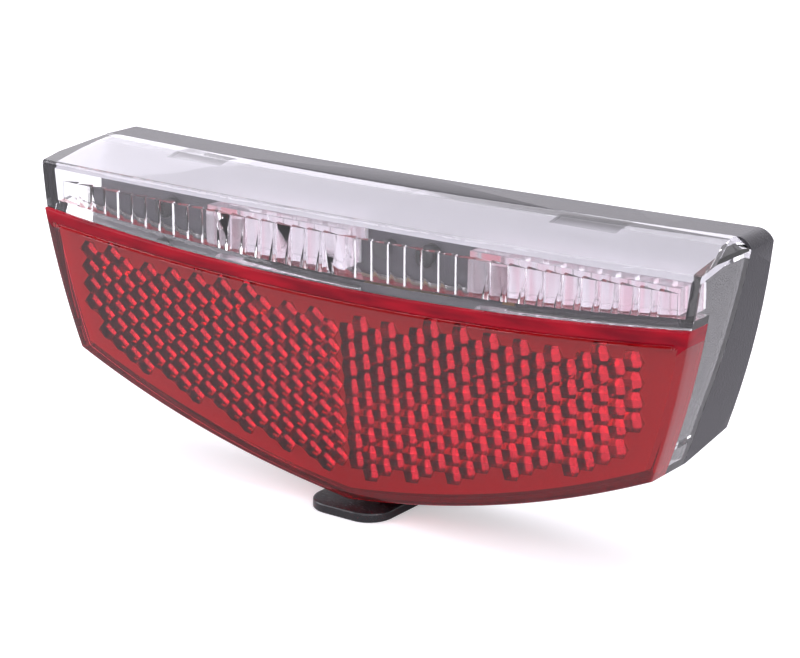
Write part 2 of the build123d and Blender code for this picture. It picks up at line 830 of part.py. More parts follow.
# Light sources and their light guides: a column in front of each source, a notched arm to its right that
# lies on the shelf, and a white plate behind the arm
optic_top_drop = optic_drop - optic_height / 2
optic_low_drop = optic_drop + optic_height / 2
guide_back = board_front + reflector_plate + guide_back_gap
led_top_drop = led_drop - led_side / 2
lens_front = board_front + led_height + led_lens_height
shelf_room = below_junction(-shelf_wall - slip_gap, 0)
for side, word, arm_length in ((-1, "left", guide_left_length), (1, "right", guide_right_length)):
    x = side * led_x
    arm_start = x + optic_width / 2
    arm_middle = arm_start + arm_length / 2
    farthest = max(abs(x - optic_width / 2), abs(arm_start + arm_length))
    bow_here = strip_bow * (1 - (farthest / half_width) ** 2)
    optic_front = strip_top_depth + bow_here - cover_wall - prism_height - optic_face_gap
    with BuildPart() as led:
        add(block_at(x, led_width, board_front, board_front + led_height, led_top_drop,
                     led_top_drop + led_side))
        add(block_at(x, led_lens_width, board_front + led_height, lens_front, led_drop - led_lens_side / 2,
                     led_drop + led_lens_side / 2))
    save(led, f"led_{word}")
    with BuildPart() as optic:
        add(block_at(x, optic_width, board_front + face_gap, optic_front, optic_top_drop, optic_low_drop))
        add(block_at(x - optic_collar, optic_width, board_front + face_gap,
                     board_front + optic_collar_thickness, optic_top_drop, optic_low_drop))
        add(block_at(arm_middle, arm_length, guide_back, optic_front, optic_top_drop, optic_low_drop))
        add(block_at(x, led_width + 2 * optic_pocket_gap, 0, lens_front + optic_pocket_gap,
                     led_top_drop - optic_pocket_gap, led_top_drop + led_side + optic_pocket_gap),
            mode=Mode.SUBTRACT)
        add(shelf_room, mode=Mode.SUBTRACT)
        # Notches along the back of the arm
        with BuildSketch(Plane.XY.offset(height(optic_low_drop))):
            for number in range(1, int(arm_length / prism_pitch)):
                notch = arm_start + number * prism_pitch
                with BuildLine():
                    Polyline(
                        (notch - notch_depth, -guide_back),
                        (notch, -guide_back - notch_depth),
                        (notch + notch_depth, -guide_back),
                        close=True,
                    )
                make_face()
        extrude(amount=optic_height, mode=Mode.SUBTRACT)
    save(optic, f"optic_{word}")
    with BuildPart() as guide_reflector:
        add(block_at(arm_middle, arm_length - 2 * guide_back_gap, board_front + face_gap,
                     board_front + reflector_plate, optic_top_drop, optic_low_drop))
        add(shelf_room, mode=Mode.SUBTRACT)
    save(guide_reflector, f"guide_reflector_{word}")

# Parts on the back of the board, but for the sensor on its front
with BuildPart() as control_chip:
    add(block_at(chip_x, chip_width, board_depth - chip_thickness, board_depth,
                 board_middle_drop - chip_height / 2, board_middle_drop + chip_height / 2))
save(control_chip, "control_chip")

with BuildPart() as resistors:
    for number in range(resistor_count):
        add(block_at(resistor_first_x + number * resistor_pitch, resistor_width,
                     board_depth - resistor_thickness, board_depth,
                     board_middle_drop - resistor_length / 2, board_middle_drop + resistor_length / 2))
save(resistors, "resistors")

with BuildPart() as capacitor:
    add(round_at(capacitor_x, board_middle_drop, capacitor_radius, board_depth - capacitor_height,
                 board_depth))
save(capacitor, "capacitor")

with BuildPart() as light_sensor:
    add(round_at(sensor_x, board_middle_drop, sensor_radius, board_front, board_front + sensor_height))
save(light_sensor, "light_sensor")

# Switch board on its two posts, and the slide switch under it
lead_x = tray_half_width + lead_gap + lead_width / 2
lead_end = lead_x + lead_width / 2
with BuildPart() as switch_board:
    add(block_at(0, 2 * switch_board_half_width, switch_board_back, board_front,
                 switch_board_drop, switch_body_drop))
    add(block_at(lead_end / 2, lead_end, switch_board_wing_back, board_front, switch_board_drop,
                 switch_body_drop))
save(switch_board, "switch_board")

wiper_half_run = wiper_half_width + switch_travel + wiper_gap
stem_half_run = stem_half_width + switch_travel + wiper_gap
switch_middle = (switch_back + switch_front) / 2
with BuildPart() as switch_body:
    add(block_at(0, 2 * switch_half_width, switch_back, switch_front, switch_body_drop, switch_low_drop))
    add(block_at(0, 2 * wiper_half_run, switch_back + switch_shell, switch_front - switch_shell,
                 switch_body_drop + switch_shell, switch_low_drop - switch_shell), mode=Mode.SUBTRACT)
    add(block_at(0, 2 * stem_half_run, switch_middle - stem_half_depth - wiper_gap,
                 switch_middle + stem_half_depth + wiper_gap, switch_low_drop - 2 * switch_shell,
                 switch_low_drop + overrun), mode=Mode.SUBTRACT)
save(switch_body, "switch_body")

with BuildPart() as switch_wiper:
    add(block_at(0, 2 * wiper_half_width, switch_back + switch_shell + wiper_gap,
                 switch_front - switch_shell - wiper_gap, switch_body_drop + switch_shell + wiper_gap,
                 switch_low_drop - switch_shell - wiper_gap))
    add(block_at(0, 2 * stem_half_width, switch_middle - stem_half_depth, switch_middle + stem_half_depth,
                 switch_low_drop - 2 * switch_shell, carrier_low_drop))
save(switch_wiper, "switch_wiper")

# Carrier plate inside the shell: it covers the slot and takes the wiper's stem and the neck's pegs
peg_depth = neck_front - peg_radius - peg_gap
with BuildPart() as switch_carrier:
    add(block_at(0, 2 * carrier_half_width, carrier_back, carrier_front, carrier_drop, carrier_low_drop))
    add(block_at(0, 2 * (stem_half_width + peg_gap), switch_middle - stem_half_depth - peg_gap,
                 switch_middle + stem_half_depth + peg_gap, 0, lowest_drop), mode=Mode.SUBTRACT)
    with BuildSketch(Plane.XY.offset(height(lowest_drop))):
        with Locations(*[(x, -peg_depth) for x in (-peg_x, peg_x)]):
            Circle(peg_radius + peg_gap)
    extrude(amount=lowest_drop, mode=Mode.SUBTRACT)
save(switch_carrier, "switch_carrier")

# Tongue with the neck that goes up through the slot
tongue_low_drop = tongue_top_drop + tongue_thickness
with BuildPart() as switch_slider:
    with BuildSketch(Plane.XY.offset(height(tongue_low_drop))):
        with Locations((0, -(tongue_back + tongue_front) / 2)):
            Rectangle(2 * tongue_half_width, tongue_front - tongue_back)
        corners = vertices().group_by(Axis.Y)
        fillet(corners[0], tongue_corner_radius)
        fillet(corners[-1], tongue_back_radius)
    extrude(amount=tongue_thickness)
    rims = switch_slider.faces().filter_by(Axis.Z).edges()
    fillet(rims, tongue_edge)
    add(block_at(0, 2 * neck_half_width, neck_back, neck_front, carrier_low_drop,
                 tongue_top_drop + tongue_edge))
    with BuildSketch(Plane.XY.offset(height(carrier_low_drop))):
        with Locations(*[(x, -peg_depth) for x in (-peg_x, peg_x)]):
            Circle(peg_radius)
    extrude(amount=carrier_thickness)
save(switch_slider, "switch_slider")

# Flat lead from the switch board up to the light source board
with BuildPart() as flat_lead:
    add(block_at(lead_x, lead_width, board_front + face_gap, board_front + face_gap + lead_thickness,
                 board_low_drop - lead_joint, switch_body_drop))
save(flat_lead, "flat_lead")
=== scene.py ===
"""Rear light for a bicycle luggage carrier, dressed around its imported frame, in metres.

The rear plane of the lamp is Y = 0, it shines towards -Y, and Z = 0 is the height of its mounting bolts.
Depths are counted forward from the rear plane and drops down from the top face, as in the part's source.
"""

import json
from math import cos, radians, sin

import bmesh
import bpy
import numpy as np
from mathutils import Matrix, Vector
from mathutils.geometry import delaunay_2d_cdt


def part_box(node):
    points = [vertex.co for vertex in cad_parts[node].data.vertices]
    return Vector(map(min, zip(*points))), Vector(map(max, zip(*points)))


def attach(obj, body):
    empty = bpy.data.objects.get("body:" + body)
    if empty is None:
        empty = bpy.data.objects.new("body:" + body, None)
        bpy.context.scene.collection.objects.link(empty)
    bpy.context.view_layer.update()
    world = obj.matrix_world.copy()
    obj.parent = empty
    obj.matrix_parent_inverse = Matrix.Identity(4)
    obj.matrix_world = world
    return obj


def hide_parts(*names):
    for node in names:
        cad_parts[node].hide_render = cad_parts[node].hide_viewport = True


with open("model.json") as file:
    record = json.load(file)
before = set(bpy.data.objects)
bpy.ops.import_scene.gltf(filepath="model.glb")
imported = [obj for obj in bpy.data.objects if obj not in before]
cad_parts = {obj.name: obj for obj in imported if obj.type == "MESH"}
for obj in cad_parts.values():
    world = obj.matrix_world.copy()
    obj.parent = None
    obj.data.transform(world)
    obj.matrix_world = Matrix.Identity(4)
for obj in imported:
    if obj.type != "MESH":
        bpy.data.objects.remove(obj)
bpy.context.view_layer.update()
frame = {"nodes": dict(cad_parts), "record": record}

# Camera, as the photograph was taken
sensor_width = 36.0
focal_length = 104.16
camera_place = Vector((0.20092, -0.27812, 0.09867))
camera_heading = radians(36.35)
camera_tilt = radians(16.80)
camera_roll = radians(0.13)
clip_near = 0.01
clip_far = 20.0

# Outline of the lamp, seen from the front
cover_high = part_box("lens_cover")[1]
half_width = cover_high[0]
top_level = cover_high[2]
tip_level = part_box("reflector")[0][2]
shoulder_fall = 0.0016
corner_half_width = 0.0532
corner_rise = 0.0148
side_bulge = 0.0010
bottom_bulge = 0.0022

# Reflector: depth of its front, rim and junction with the strip
junction_drop = 0.01305
junction_end_rise = 0.00335
reflector_top_depth = 0.0210
reflector_lean = 0.0018
reflector_top_bow = 0.00095
reflector_low_bow = -0.0007
rim_depth = 0.01605
rim_bow = 0.0003
reflector_wall = 0.0017
reflector_face = 0.0029
edge_radius = 0.0004

# Corner cubes behind the reflector's face, in six-sided cells
cell_sides = 6
cube_pitch = 0.00294
cube_step = cube_pitch / 6 ** 0.5
cube_rows = 20
cube_side_margin = 0.0036
cube_top_margin = 0.0027
cube_low_margin = 0.0029
plain_thickness = reflector_face - cube_step

# Groove across the reflector's face, under the bead along its top edge
groove_drop = 0.0022
groove_half_width = 0.0004
groove_depth = 0.0004
groove_reach = 0.0576
groove_fade = 0.0012
groove_from = 0.83
groove_to = 0.95
groove_rows = 36

# Places of the red pan's finishes: its face, the cubes, the plain floor and the bead
face_finish = 0
cube_finish = 1
floor_finish = 2
bead_finish = 3

# How far a light source's lens stands forward of its package
lens_height = 0.00045

# Steps of the modelled surfaces, and how much finer the side is cut before its points are picked
side_steps = 40
side_fineness = 20
bottom_steps = 60
top_steps = 2 * bottom_steps
face_rows = 8
fillet_steps = 4
wall_rows = 4

# How far below the top the clear cover's etched faces lie, and how level they are
frost_drop = 0.0037
frost_level = 0.9

# Moulded edges: how far they are rounded, and from what angle an edge counts as sharp
shell_edge = 0.00022
cover_edge = 0.00018
sharp_angle = radians(28)
flute_angle = radians(9)
bevel_segments = 2

# How close points count as one
weld_distance = 1e-6
triangle_tolerance = 1e-9

# Relief of the finishes, from the polished cubes to the shell's coarse grain
cube_relief = 0.000003
lens_relief = 0.000004
face_relief = 0.000006
fine_relief = 0.00001
plain_relief = 0.00002
coarse_relief = 0.00003
wavy_relief = 0.00005
shell_relief = 0.00006

# Places of the colours among the sockets of a mix node
mix_low = 6
mix_high = 7
mix_result = 2

# Textures: marks a metre, or the scale and height of some marks against those that they go with
unevenness_scale = 0.03
unevenness_height = 0.3
wave_scale = 60.0
haze_scale = 3.0
dust_scale = 900.0
metal_grain_scale = 8.0

# Clear plastics: their indices, what light passes through them, and what haze and dust do to it
acrylic_index = 1.49
sensor_index = 1.53
guide_clearness = 0.86
frost_clearness = 0.5
etched_clearness = 0.3
haze_tint = 0.96
haze_roughness = (0.0, 0.03)
dust_roughness = 0.25
red_tint = (0.88, 0.03, 0.06)
red_shade = (0.75, 0.02, 0.04)

# Coating behind the cubes: what it mirrors, its colour and its roughness
coating_share = 0.3
coating_tint = (1.0, 0.9, 0.9)
coating_roughness = 0.08

# Studio: the floor's glow and the share of it that glass shows, and the strength of the world with what
# camera, gloss and glass see on top
floor_half = 3.0
floor_glow = 0.4
glow_through_glass = 0.5
world_strength = 0.5
seen_strength = 0.5
white = (1.0, 1.0, 1.0)
soft_white = (0.975, 0.955, 1.0)
lamp_tint = (0.95, 0.915, 1.0)

# Lamps: name, place, width and height, and power in watts
lamps = (
    ("low back", (-0.5, 1.1, 0.35), (2.2, 0.7), 4.0),
    ("high back", (-0.86, 0.9, 0.90), (2.2, 1.1), 6.0),
    ("top", (0.0, 0.15, 0.9), (1.2, 1.0), 6.0),
    ("left", (-0.8, -0.5, 0.45), (0.7, 0.7), 5.0),
    ("right", (0.9, -0.3, 0.4), (0.6, 0.6), 2.0),
    ("front", (0.85, -1.16, 0.43), (2.0, 2.0), 15.0),
)


def make_camera():
    """Camera from its place, heading, tilt and roll, with the photograph's angle of view."""
    side = Vector((cos(camera_heading), sin(camera_heading), 0))
    forward = Vector((-sin(camera_heading) * cos(camera_tilt), cos(camera_heading) * cos(camera_tilt),
                      -sin(camera_tilt)))
    up = side.cross(forward)
    right = side * cos(camera_roll) - up * sin(camera_roll)
    up = right.cross(forward)
    data = bpy.data.cameras.new("camera")
    data.sensor_fit = "HORIZONTAL"
    data.sensor_width = sensor_width
    data.lens = focal_length
    data.clip_start = clip_near
    data.clip_end = clip_far
    camera = bpy.data.objects.new("camera", data)
    turn = Matrix((right, up, -forward)).transposed().to_4x4()
    camera.matrix_world = Matrix.Translation(camera_place) @ turn
    bpy.context.scene.collection.objects.link(camera)
    bpy.context.scene.camera = camera


# Node trees
def link(tree, source, target):
    """Joins an output socket to an input socket."""
    tree.links.new(source, target)


def feed(tree, value, socket):
    """Joins an output to an input socket, or sets the socket to a plain value."""
    if isinstance(value, bpy.types.NodeSocket):
        link(tree, value, socket)
    else:
        socket.default_value = value


def add_node(tree, kind, settings=None, **inputs):
    """A node with its settings and the values or sources of its inputs, each by the input's name."""
    node = tree.nodes.new(kind)
    for key, value in (settings or {}).items():
        setattr(node, key, value)
    for key, value in inputs.items():
        feed(tree, value, node.inputs[key.replace("_", " ")])
    return node


def combine(tree, operation, first, second):
    """Output of a math node on two values or sources."""
    node = tree.nodes.new("ShaderNodeMath")
    node.operation = operation
    for value, socket in zip((first, second), node.inputs):
        feed(tree, value, socket)
    return node.outputs[0]


def blend_colours(tree, mask, low, high):
    """Colour that goes from low to high with the mask; both are colours of three parts or outputs."""
    mix = tree.nodes.new("ShaderNodeMix")
    mix.data_type = "RGBA"
    link(tree, mask, mix.inputs["Factor"])
    for value, place in ((low, mix_low), (high, mix_high)):
        if isinstance(value, tuple):
            value = (*value, 1.0)
        feed(tree, value, mix.inputs[place])
    return mix.outputs[mix_result]


def blend_values(tree, mask, low, high):
    """Value that goes from low to high with the mask."""
    node = add_node(tree, "ShaderNodeMapRange", Value=mask, To_Min=low, To_Max=high)
    return node.outputs["Result"]


def blend_surfaces(tree, mask, low, high):
    """Surface that goes from low to high with the mask."""
    mix = tree.nodes.new("ShaderNodeMixShader")
    for source, socket in zip((mask, low, high), mix.inputs):
        link(tree, source, socket)
    return mix.outputs[0]


def new_group(name, inputs, outputs):
    """An empty node group with its named inputs and outputs, and the values of the inputs that have one."""
    tree = bpy.data.node_groups.new(name, "ShaderNodeTree")
    for label, kind, value in inputs:
        socket = tree.interface.new_socket(label, in_out="INPUT", socket_type=kind)
        if value is not None:
            socket.default_value = value
    for label, kind in outputs:
        tree.interface.new_socket(label, in_out="OUTPUT", socket_type=kind)
    source = tree.nodes.new("NodeGroupInput")
    target = tree.nodes.new("NodeGroupOutput")
    return tree, source, target


def moulded_grain():
    """Spark-eroded grain of a mould: fine pits over a broad unevenness, with a mask that lightens peaks."""
    tree, source, target = new_group(
        "moulded grain",
        [("Vector", "NodeSocketVector", None), ("Scale", "NodeSocketFloat", None)],
        [("Height", "NodeSocketFloat"), ("Peaks", "NodeSocketFloat")],
    )
    place = source.outputs["Vector"]
    scale = source.outputs["Scale"]
    fine = add_node(tree, "ShaderNodeTexNoise", Vector=place, Scale=scale, Detail=3.0, Roughness=0.65)
    pits = add_node(tree, "ShaderNodeTexVoronoi", {"feature": "SMOOTH_F1"}, Vector=place, Scale=scale,
                    Smoothness=0.6)
    broad = add_node(tree, "ShaderNodeTexNoise", Vector=place,
                     Scale=combine(tree, "MULTIPLY", scale, unevenness_scale), Detail=2.0)
    mixed = combine(tree, "ADD", fine.outputs["Fac"], pits.outputs["Distance"])
    unevenness = combine(tree, "MULTIPLY", broad.outputs["Fac"], unevenness_height)
    peaks = add_node(tree, "ShaderNodeMapRange", Value=fine.outputs["Fac"], From_Min=0.5, From_Max=0.75)
    link(tree, combine(tree, "ADD", mixed, unevenness), target.inputs["Height"])
    link(tree, peaks.outputs["Result"], target.inputs["Peaks"])
    return tree


def flow_haze():
    """Marks of the flow in clear plastic: long faint waves and a little haze with fine dust in it."""
    tree, source, target = new_group(
        "flow and haze",
        [("Vector", "NodeSocketVector", None), ("Wave Scale", "NodeSocketFloat", wave_scale),
         ("Dust Scale", "NodeSocketFloat", dust_scale)],
        [("Height", "NodeSocketFloat"), ("Haze", "NodeSocketFloat"), ("Dust", "NodeSocketFloat")],
    )
    place = source.outputs["Vector"]
    waves = add_node(tree, "ShaderNodeTexNoise", Vector=place, Scale=source.outputs["Wave Scale"],
                     Detail=1.0, Distortion=0.6)
    haze = add_node(tree, "ShaderNodeTexNoise", Vector=place,
                    Scale=combine(tree, "MULTIPLY", source.outputs["Wave Scale"], haze_scale), Detail=4.0)
    dust = add_node(tree, "ShaderNodeTexVoronoi", Vector=place, Scale=source.outputs["Dust Scale"])
    specks = add_node(tree, "ShaderNodeMapRange", Value=dust.outputs["Distance"], From_Min=0.05,
                      From_Max=0.11, To_Min=1.0, To_Max=0.0)
    link(tree, waves.outputs["Fac"], target.inputs["Height"])
    link(tree, haze.outputs["Fac"], target.inputs["Haze"])
    link(tree, specks.outputs["Result"], target.inputs["Dust"])
    return tree


def worn_metal():
    """Drawn or plated metal: a fine grain, with blotches of another shade and gloss."""
    tree, source, target = new_group(
        "worn metal",
        [("Vector", "NodeSocketVector", None), ("Scale", "NodeSocketFloat", None)],
        [("Height", "NodeSocketFloat"), ("Blotches", "NodeSocketFloat")],
    )
    place = source.outputs["Vector"]
    scale = source.outputs["Scale"]
    grain = add_node(tree, "ShaderNodeTexNoise", Vector=place,
                     Scale=combine(tree, "MULTIPLY", scale, metal_grain_scale), Detail=2.0)
    blotches = add_node(tree, "ShaderNodeTexNoise", Vector=place, Scale=scale, Detail=5.0, Roughness=0.7)
    link(tree, grain.outputs["Fac"], target.inputs["Height"])
    link(tree, blotches.outputs["Fac"], target.inputs["Blotches"])
    return tree


# Finishes
def start_material(name):
    """A new material with its tree, its main shader and its object coordinates."""
    made = bpy.data.materials.new(name)
    made.use_nodes = True
    tree = made.node_tree
    shader = tree.nodes["Principled BSDF"]
    place = tree.nodes.new("ShaderNodeTexCoord").outputs["Object"]
    return made, tree, shader, place


def place_group(tree, key, place, **inputs):
    """One of the shared groups, reading this place."""
    node = tree.nodes.new("ShaderNodeGroup")
    node.node_tree = groups[key]
    link(tree, place, node.inputs["Vector"])
    for label, value in inputs.items():
        node.inputs[label].default_value = value
    return node


def add_bump(tree, shader, height, strength, distance):
    """Relief of the finish, from a height that runs from 0 to about 1."""
    bump = add_node(tree, "ShaderNodeBump", Strength=strength, Distance=distance, Height=height)
    link(tree, bump.outputs["Normal"], shader.inputs["Normal"])


def colour_and_roughness(tree, shader, mask, low, high, roughness):
    """Base colour from low to high and roughness between its two values, both with the mask."""
    link(tree, blend_colours(tree, mask, low, high), shader.inputs["Base Color"])
    link(tree, blend_values(tree, mask, *roughness), shader.inputs["Roughness"])


def grained_plastic(name, low, high, roughness, scale, depth, specular=0.5):
    """Opaque moulded plastic with a grain of this scale and depth."""
    made, tree, shader, place = start_material(name)
    shader.inputs["Specular IOR Level"].default_value = specular
    grain = place_group(tree, "grain", place, Scale=scale)
    colour_and_roughness(tree, shader, grain.outputs["Peaks"], low, high, roughness)
    add_bump(tree, shader, grain.outputs["Height"], strength=0.6, distance=depth)
    return made


def let_light_through(tree, surface, shade):
    """Ends the tree with this surface, and lets the light of the lamps pass straight on in this shade."""
    straight = tree.nodes.new("ShaderNodeBsdfTransparent")
    straight.inputs["Color"].default_value = (*shade, 1.0)
    rays = tree.nodes.new("ShaderNodeLightPath")
    ended = blend_surfaces(tree, rays.outputs["Is Shadow Ray"], surface, straight.outputs[0])
    link(tree, ended, tree.nodes["Material Output"].inputs["Surface"])


def coated_behind(tree, surface, mirror_share):
    """The surface with a coating behind it, which mirrors this share of the light from inside."""
    sides = tree.nodes.new("ShaderNodeNewGeometry")
    mirror = add_node(tree, "ShaderNodeBsdfGlossy", Roughness=coating_roughness)
    mirror.inputs["Color"].default_value = (*coating_tint, 1.0)
    share = combine(tree, "MULTIPLY", sides.outputs["Backfacing"], mirror_share)
    return blend_surfaces(tree, share, surface, mirror.outputs[0])


def clear_plastic(name, tint, index, wave_depth, shade=white, mirror_share=0.0):
    """Clear or tinted moulded plastic: a glass-like solid that lets straight light through in its shade."""
    made, tree, shader, place = start_material(name)
    flow = place_group(tree, "haze", place)
    shader.inputs["Transmission Weight"].default_value = 1.0
    shader.inputs["IOR"].default_value = index
    hazy_tint = tuple(haze_tint * part for part in tint)
    link(tree, blend_colours(tree, flow.outputs["Haze"], tint, hazy_tint), shader.inputs["Base Color"])
    hazy = blend_values(tree, flow.outputs["Haze"], *haze_roughness)
    dusty = combine(tree, "MULTIPLY", flow.outputs["Dust"], dust_roughness)
    link(tree, combine(tree, "MAXIMUM", hazy, dusty), shader.inputs["Roughness"])
    add_bump(tree, shader, flow.outputs["Height"], strength=1.0, distance=wave_depth)
    surface = shader.outputs[0]
    if mirror_share:
        surface = coated_behind(tree, surface, mirror_share)
    let_light_through(tree, surface, shade)
    return made


def guide_finish():
    """Clear light guide, a little milky, with upright streaks whose pink is a painted reflection of its red
    source's light.
    """
    made, tree, shader, place = start_material("clear optic")
    stretched = add_node(tree, "ShaderNodeMapping", Vector=place, Scale=(1.0, 1.0, 0.06))
    streaks = add_node(tree, "ShaderNodeTexNoise", Vector=stretched.outputs["Vector"], Scale=700.0,
                       Detail=2.0)
    # Painted reflection: the pink of the streaks stands in for light from the red source and is painted into
    # the guide's colour
    mask = add_node(tree, "ShaderNodeMapRange", Value=streaks.outputs["Fac"], From_Min=0.5, From_Max=0.68)
    tint = blend_colours(tree, mask.outputs["Result"], low=(0.97, 0.95, 0.98), high=(0.93, 0.62, 0.70))
    link(tree, tint, shader.inputs["Base Color"])
    shader.inputs["Transmission Weight"].default_value = guide_clearness
    shader.inputs["IOR"].default_value = acrylic_index
    link(tree, blend_values(tree, streaks.outputs["Fac"], low=0.05, high=0.25), shader.inputs["Roughness"])
    add_bump(tree, shader, streaks.outputs["Fac"], strength=0.5, distance=plain_relief)
    let_light_through(tree, shader.outputs[0], shade=(0.96, 0.92, 0.95))
    return made


def frosted_finish():
    """Etched inner face of clear plastic: a pale even grey that still lets some light through."""
    made, tree, shader, place = start_material("frosted cover")
    grain = place_group(tree, "grain", place, Scale=3800.0)
    colour_and_roughness(tree, shader, grain.outputs["Peaks"], low=(0.38, 0.37, 0.412),
                         high=(0.42, 0.41, 0.452), roughness=(0.5, 0.6))
    shader.inputs["Transmission Weight"].default_value = frost_clearness
    shader.inputs["IOR"].default_value = acrylic_index
    add_bump(tree, shader, grain.outputs["Height"], strength=0.3, distance=fine_relief)
    let_light_through(tree, shader.outputs[0], shade=(0.7, 0.69, 0.72))
    return made


def etched_red():
    """Dull floor of the red pan round its cubes, which glows red in the light that comes through."""
    made, tree, shader, place = start_material("etched red")
    grain = place_group(tree, "grain", place, Scale=2600.0)
    colour_and_roughness(tree, shader, grain.outputs["Peaks"], low=(0.42, 0.012, 0.035),
                         high=(0.50, 0.018, 0.045), roughness=(0.45, 0.55))
    shader.inputs["Transmission Weight"].default_value = etched_clearness
    add_bump(tree, shader, grain.outputs["Height"], strength=0.3, distance=fine_relief)
    return made


def crimson_bead():
    """Bead of the red pan: crimson, with dark and bright stretches along it."""
    made, tree, shader, place = start_material("red bead")
    stretched = add_node(tree, "ShaderNodeMapping", Vector=place, Scale=(1.0, 1.0, 5.0))
    bands = add_node(tree, "ShaderNodeTexNoise", Vector=stretched.outputs["Vector"], Scale=90.0, Detail=3.0)
    mask = add_node(tree, "ShaderNodeMapRange", Value=bands.outputs["Fac"], From_Min=0.35, From_Max=0.65)
    crimson = blend_colours(tree, mask.outputs["Result"], low=(0.17, 0.0, 0.008), high=(0.34, 0.001, 0.012))
    link(tree, crimson, shader.inputs["Base Color"])
    shader.inputs["Specular IOR Level"].default_value = 0.15
    link(tree, blend_values(tree, bands.outputs["Fac"], low=0.1, high=0.3), shader.inputs["Roughness"])
    add_bump(tree, shader, bands.outputs["Fac"], strength=0.2, distance=wavy_relief)
    return made


def metal(name, low, high, roughness, scale):
    """Plated or drawn metal."""
    made, tree, shader, place = start_material(name)
    wear = place_group(tree, "metal", place, Scale=scale)
    shader.inputs["Metallic"].default_value = 1.0
    colour_and_roughness(tree, shader, wear.outputs["Blotches"], low, high, roughness)
    add_bump(tree, shader, wear.outputs["Height"], strength=0.4, distance=plain_relief)
    return made


def board_finish():
    """Dark solder mask with straight traces under it and a fine weave of glass cloth."""
    made, tree, shader, place = start_material("board mask")
    weave = add_node(tree, "ShaderNodeTexWave", {"bands_direction": "X"}, Vector=place, Scale=900.0,
                     Distortion=0.4)
    traces = add_node(tree, "ShaderNodeTexBrick", {"offset": 0.37}, Vector=place, Scale=220.0,
                      Mortar_Size=0.03)
    colour_and_roughness(tree, shader, traces.outputs["Fac"], low=(0.022, 0.020, 0.026),
                         high=(0.050, 0.046, 0.058), roughness=(0.35, 0.25))
    height = combine(tree, "ADD", weave.outputs["Fac"], traces.outputs["Fac"])
    add_bump(tree, shader, height, strength=0.3, distance=coarse_relief)
    return made


def source_finish():
    """White package of a light source, with its red lens where it stands forward of the package."""
    made, tree, shader, place = start_material("led package")
    grain = place_group(tree, "grain", place, Scale=3000.0)
    depth = add_node(tree, "ShaderNodeSeparateXYZ", Vector=place)
    lens = combine(tree, "LESS_THAN", depth.outputs["Y"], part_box("led_left")[0][1] + lens_height)
    package = blend_colours(tree, grain.outputs["Peaks"], low=(0.75, 0.74, 0.70), high=(0.8, 0.8, 0.76))
    colour_and_roughness(tree, shader, lens, low=package, high=(0.62, 0.03, 0.07), roughness=(0.4, 0.15))
    add_bump(tree, shader, grain.outputs["Height"], strength=0.4, distance=fine_relief)
    return made


def cell_sleeve():
    """Printed shrink sleeve of a cell: bands of two plain colours round it, with small wrinkles."""
    made, tree, shader, place = start_material("cell sleeve")
    bands = add_node(tree, "ShaderNodeTexWave", {"bands_direction": "X", "wave_profile": "SAW"},
                     Vector=place, Scale=7.0)
    ramp = add_node(tree, "ShaderNodeMapRange", Value=bands.outputs["Fac"], From_Min=0.32, From_Max=0.34)
    wrinkles = add_node(tree, "ShaderNodeTexNoise", Vector=place, Scale=500.0, Detail=2.0)
    ink = blend_colours(tree, ramp.outputs["Result"], low=(0.42, 0.24, 0.08), high=(0.03, 0.03, 0.035))
    link(tree, ink, shader.inputs["Base Color"])
    link(tree, blend_values(tree, wrinkles.outputs["Fac"], low=0.2, high=0.4), shader.inputs["Roughness"])
    add_bump(tree, shader, wrinkles.outputs["Fac"], strength=0.3, distance=wavy_relief)
    return made


